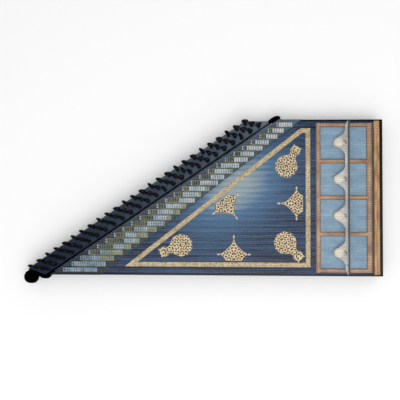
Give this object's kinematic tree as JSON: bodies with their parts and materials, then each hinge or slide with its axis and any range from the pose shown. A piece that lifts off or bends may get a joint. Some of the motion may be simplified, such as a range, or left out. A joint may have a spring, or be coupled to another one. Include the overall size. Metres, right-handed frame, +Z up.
{
  "type": "kanun",
  "caption": "Plucked box zither of trapezoid shape with a long slanted peg board, skin-mounted bridge, carved rosettes and metal pitch levers",
  "frame": {"origin": "on the underside of the back board, midway along the front side and midway between the front and rear sides", "axes": "X runs along the strings with the tail at +X and the tuning pegs at -X, Y runs from the long front side to the short rear side, Z is up"},
  "size_m": [0.9248, 0.4375, 0.0647],
  "materials": {
    "lacquer": "black lacquer with a blue sheen",
    "bare_wood": "bare planed wood",
    "inlay": "patterned inlay of light and dark woods",
    "carved_wood": "gilded carved wood",
    "marquetry": "varnished marquetry",
    "skin": "taut pale fish skin",
    "bridge_wood": "pale varnished maple",
    "rail_wood": "varnished hardwood",
    "ebony": "polished ebony",
    "silver": "nickel-plated brass",
    "string": "clear polymer"
  },
  "bodies": {
    "body": {"back_board": "bare_wood", "front_rim": "lacquer", "rear_rim": "lacquer", "tail_rim": "lacquer", "slanted_wall": "lacquer", "cross_brace": "bare_wood", "soundboard": "lacquer", "purfling": "inlay", "skin_bed": "bare_wood", "skin_frame": "marquetry", "skin_1": "skin", "skin_2": "skin", "skin_3": "skin", "skin_4": "skin", "bridge": "bridge_wood", "string_rail": "rail_wood", "nut": "ebony", "lever_bed": "lacquer", "lever_rack": "silver", "peg_board": "lacquer", "front_scroll": "lacquer", "rear_scroll": "lacquer", "strings": "string", "rosette_rear_corner": "carved_wood", "rosette_tail_edge": "carved_wood", "rosette_slant_edge": "carved_wood", "rosette_front_left_corner": "carved_wood", "rosette_front_edge": "carved_wood", "rosette_tail_corner": "carved_wood"},
    "tuning_peg_01": {"tuning_peg_01": "ebony"},
    "tuning_peg_02": {"tuning_peg_02": "ebony"},
    "tuning_peg_03": {"tuning_peg_03": "ebony"},
    "tuning_peg_04": {"tuning_peg_04": "ebony"},
    "tuning_peg_05": {"tuning_peg_05": "ebony"},
    "tuning_peg_06": {"tuning_peg_06": "ebony"},
    "tuning_peg_07": {"tuning_peg_07": "ebony"},
    "tuning_peg_08": {"tuning_peg_08": "ebony"},
    "tuning_peg_09": {"tuning_peg_09": "ebony"},
    "tuning_peg_10": {"tuning_peg_10": "ebony"},
    "tuning_peg_11": {"tuning_peg_11": "ebony"},
    "tuning_peg_12": {"tuning_peg_12": "ebony"},
    "tuning_peg_13": {"tuning_peg_13": "ebony"},
    "tuning_peg_14": {"tuning_peg_14": "ebony"},
    "tuning_peg_15": {"tuning_peg_15": "ebony"},
    "tuning_peg_16": {"tuning_peg_16": "ebony"},
    "tuning_peg_17": {"tuning_peg_17": "ebony"},
    "tuning_peg_18": {"tuning_peg_18": "ebony"},
    "tuning_peg_19": {"tuning_peg_19": "ebony"},
    "tuning_peg_20": {"tuning_peg_20": "ebony"},
    "tuning_peg_21": {"tuning_peg_21": "ebony"},
    "tuning_peg_22": {"tuning_peg_22": "ebony"},
    "tuning_peg_23": {"tuning_peg_23": "ebony"},
    "tuning_peg_24": {"tuning_peg_24": "ebony"},
    "tuning_peg_25": {"tuning_peg_25": "ebony"},
    "tuning_peg_26": {"tuning_peg_26": "ebony"},
    "lever_1": {"lever_1": "silver"},
    "lever_2": {"lever_2": "silver"},
    "lever_3": {"lever_3": "silver"},
    "lever_4": {"lever_4": "silver"},
    "lever_5": {"lever_5": "silver"}
  },
  "joints": [
    {"name": "turn_tuning_peg_01", "type": "hinge", "parent": "body", "child": "tuning_peg_01", "pos_m": [-0.46968, -0.18157, 0.03554], "axis": [-0.1169, 0.1719, 0.9781], "continuous": true},
    {"name": "turn_tuning_peg_02", "type": "hinge", "parent": "body", "child": "tuning_peg_02", "pos_m": [-0.44778, -0.16667, 0.03554], "axis": [-0.1169, 0.1719, 0.9781], "continuous": true},
    {"name": "turn_tuning_peg_03", "type": "hinge", "parent": "body", "child": "tuning_peg_03", "pos_m": [-0.42588, -0.15177, 0.03554], "axis": [-0.1169, 0.1719, 0.9781], "continuous": true},
    {"name": "turn_tuning_peg_04", "type": "hinge", "parent": "body", "child": "tuning_peg_04", "pos_m": [-0.40397, -0.13687, 0.03554], "axis": [-0.1169, 0.1719, 0.9781], "continuous": true},
    {"name": "turn_tuning_peg_05", "type": "hinge", "parent": "body", "child": "tuning_peg_05", "pos_m": [-0.38207, -0.12197, 0.03554], "axis": [-0.1169, 0.1719, 0.9781], "continuous": true},
    {"name": "turn_tuning_peg_06", "type": "hinge", "parent": "body", "child": "tuning_peg_06", "pos_m": [-0.36017, -0.10707, 0.03554], "axis": [-0.1169, 0.1719, 0.9781], "continuous": true},
    {"name": "turn_tuning_peg_07", "type": "hinge", "parent": "body", "child": "tuning_peg_07", "pos_m": [-0.33827, -0.09217, 0.03554], "axis": [-0.1169, 0.1719, 0.9781], "continuous": true},
    {"name": "turn_tuning_peg_08", "type": "hinge", "parent": "body", "child": "tuning_peg_08", "pos_m": [-0.31636, -0.07727, 0.03554], "axis": [-0.1169, 0.1719, 0.9781], "continuous": true},
    {"name": "turn_tuning_peg_09", "type": "hinge", "parent": "body", "child": "tuning_peg_09", "pos_m": [-0.29446, -0.06237, 0.03554], "axis": [-0.1169, 0.1719, 0.9781], "continuous": true},
    {"name": "turn_tuning_peg_10", "type": "hinge", "parent": "body", "child": "tuning_peg_10", "pos_m": [-0.27256, -0.04747, 0.03554], "axis": [-0.1169, 0.1719, 0.9781], "continuous": true},
    {"name": "turn_tuning_peg_11", "type": "hinge", "parent": "body", "child": "tuning_peg_11", "pos_m": [-0.25065, -0.03257, 0.03554], "axis": [-0.1169, 0.1719, 0.9781], "continuous": true},
    {"name": "turn_tuning_peg_12", "type": "hinge", "parent": "body", "child": "tuning_peg_12", "pos_m": [-0.22875, -0.01767, 0.03554], "axis": [-0.1169, 0.1719, 0.9781], "continuous": true},
    {"name": "turn_tuning_peg_13", "type": "hinge", "parent": "body", "child": "tuning_peg_13", "pos_m": [-0.20685, -0.00277, 0.03554], "axis": [-0.1169, 0.1719, 0.9781], "continuous": true},
    {"name": "turn_tuning_peg_14", "type": "hinge", "parent": "body", "child": "tuning_peg_14", "pos_m": [-0.18494, 0.01213, 0.03554], "axis": [-0.1169, 0.1719, 0.9781], "continuous": true},
    {"name": "turn_tuning_peg_15", "type": "hinge", "parent": "body", "child": "tuning_peg_15", "pos_m": [-0.16304, 0.02703, 0.03554], "axis": [-0.1169, 0.1719, 0.9781], "continuous": true},
    {"name": "turn_tuning_peg_16", "type": "hinge", "parent": "body", "child": "tuning_peg_16", "pos_m": [-0.14114, 0.04193, 0.03554], "axis": [-0.1169, 0.1719, 0.9781], "continuous": true},
    {"name": "turn_tuning_peg_17", "type": "hinge", "parent": "body", "child": "tuning_peg_17", "pos_m": [-0.11924, 0.05683, 0.03554], "axis": [-0.1169, 0.1719, 0.9781], "continuous": true},
    {"name": "turn_tuning_peg_18", "type": "hinge", "parent": "body", "child": "tuning_peg_18", "pos_m": [-0.09733, 0.07173, 0.03554], "axis": [-0.1169, 0.1719, 0.9781], "continuous": true},
    {"name": "turn_tuning_peg_19", "type": "hinge", "parent": "body", "child": "tuning_peg_19", "pos_m": [-0.07543, 0.08663, 0.03554], "axis": [-0.1169, 0.1719, 0.9781], "continuous": true},
    {"name": "turn_tuning_peg_20", "type": "hinge", "parent": "body", "child": "tuning_peg_20", "pos_m": [-0.05353, 0.10153, 0.03554], "axis": [-0.1169, 0.1719, 0.9781], "continuous": true},
    {"name": "turn_tuning_peg_21", "type": "hinge", "parent": "body", "child": "tuning_peg_21", "pos_m": [-0.03162, 0.11643, 0.03554], "axis": [-0.1169, 0.1719, 0.9781], "continuous": true},
    {"name": "turn_tuning_peg_22", "type": "hinge", "parent": "body", "child": "tuning_peg_22", "pos_m": [-0.00972, 0.13133, 0.03554], "axis": [-0.1169, 0.1719, 0.9781], "continuous": true},
    {"name": "turn_tuning_peg_23", "type": "hinge", "parent": "body", "child": "tuning_peg_23", "pos_m": [0.01218, 0.14623, 0.03554], "axis": [-0.1169, 0.1719, 0.9781], "continuous": true},
    {"name": "turn_tuning_peg_24", "type": "hinge", "parent": "body", "child": "tuning_peg_24", "pos_m": [0.03408, 0.16113, 0.03554], "axis": [-0.1169, 0.1719, 0.9781], "continuous": true},
    {"name": "turn_tuning_peg_25", "type": "hinge", "parent": "body", "child": "tuning_peg_25", "pos_m": [0.05599, 0.17603, 0.03554], "axis": [-0.1169, 0.1719, 0.9781], "continuous": true},
    {"name": "turn_tuning_peg_26", "type": "hinge", "parent": "body", "child": "tuning_peg_26", "pos_m": [0.07789, 0.19093, 0.03554], "axis": [-0.1169, 0.1719, 0.9781], "continuous": true},
    {"name": "flip_lever_1", "type": "hinge", "parent": "body", "child": "lever_1", "pos_m": [-0.38528, -0.18625, 0.0513], "axis": [0, -1, 0], "range_deg": [0, 90]},
    {"name": "flip_lever_2", "type": "hinge", "parent": "body", "child": "lever_2", "pos_m": [-0.36758, -0.18625, 0.0513], "axis": [0, -1, 0], "range_deg": [0, 90]},
    {"name": "flip_lever_3", "type": "hinge", "parent": "body", "child": "lever_3", "pos_m": [-0.34988, -0.18625, 0.0513], "axis": [0, -1, 0], "range_deg": [0, 90]},
    {"name": "flip_lever_4", "type": "hinge", "parent": "body", "child": "lever_4", "pos_m": [-0.33218, -0.18625, 0.0513], "axis": [0, -1, 0], "range_deg": [0, 90]},
    {"name": "flip_lever_5", "type": "hinge", "parent": "body", "child": "lever_5", "pos_m": [-0.31448, -0.18625, 0.0513], "axis": [0, -1, 0], "range_deg": [0, 90]}
  ]
}
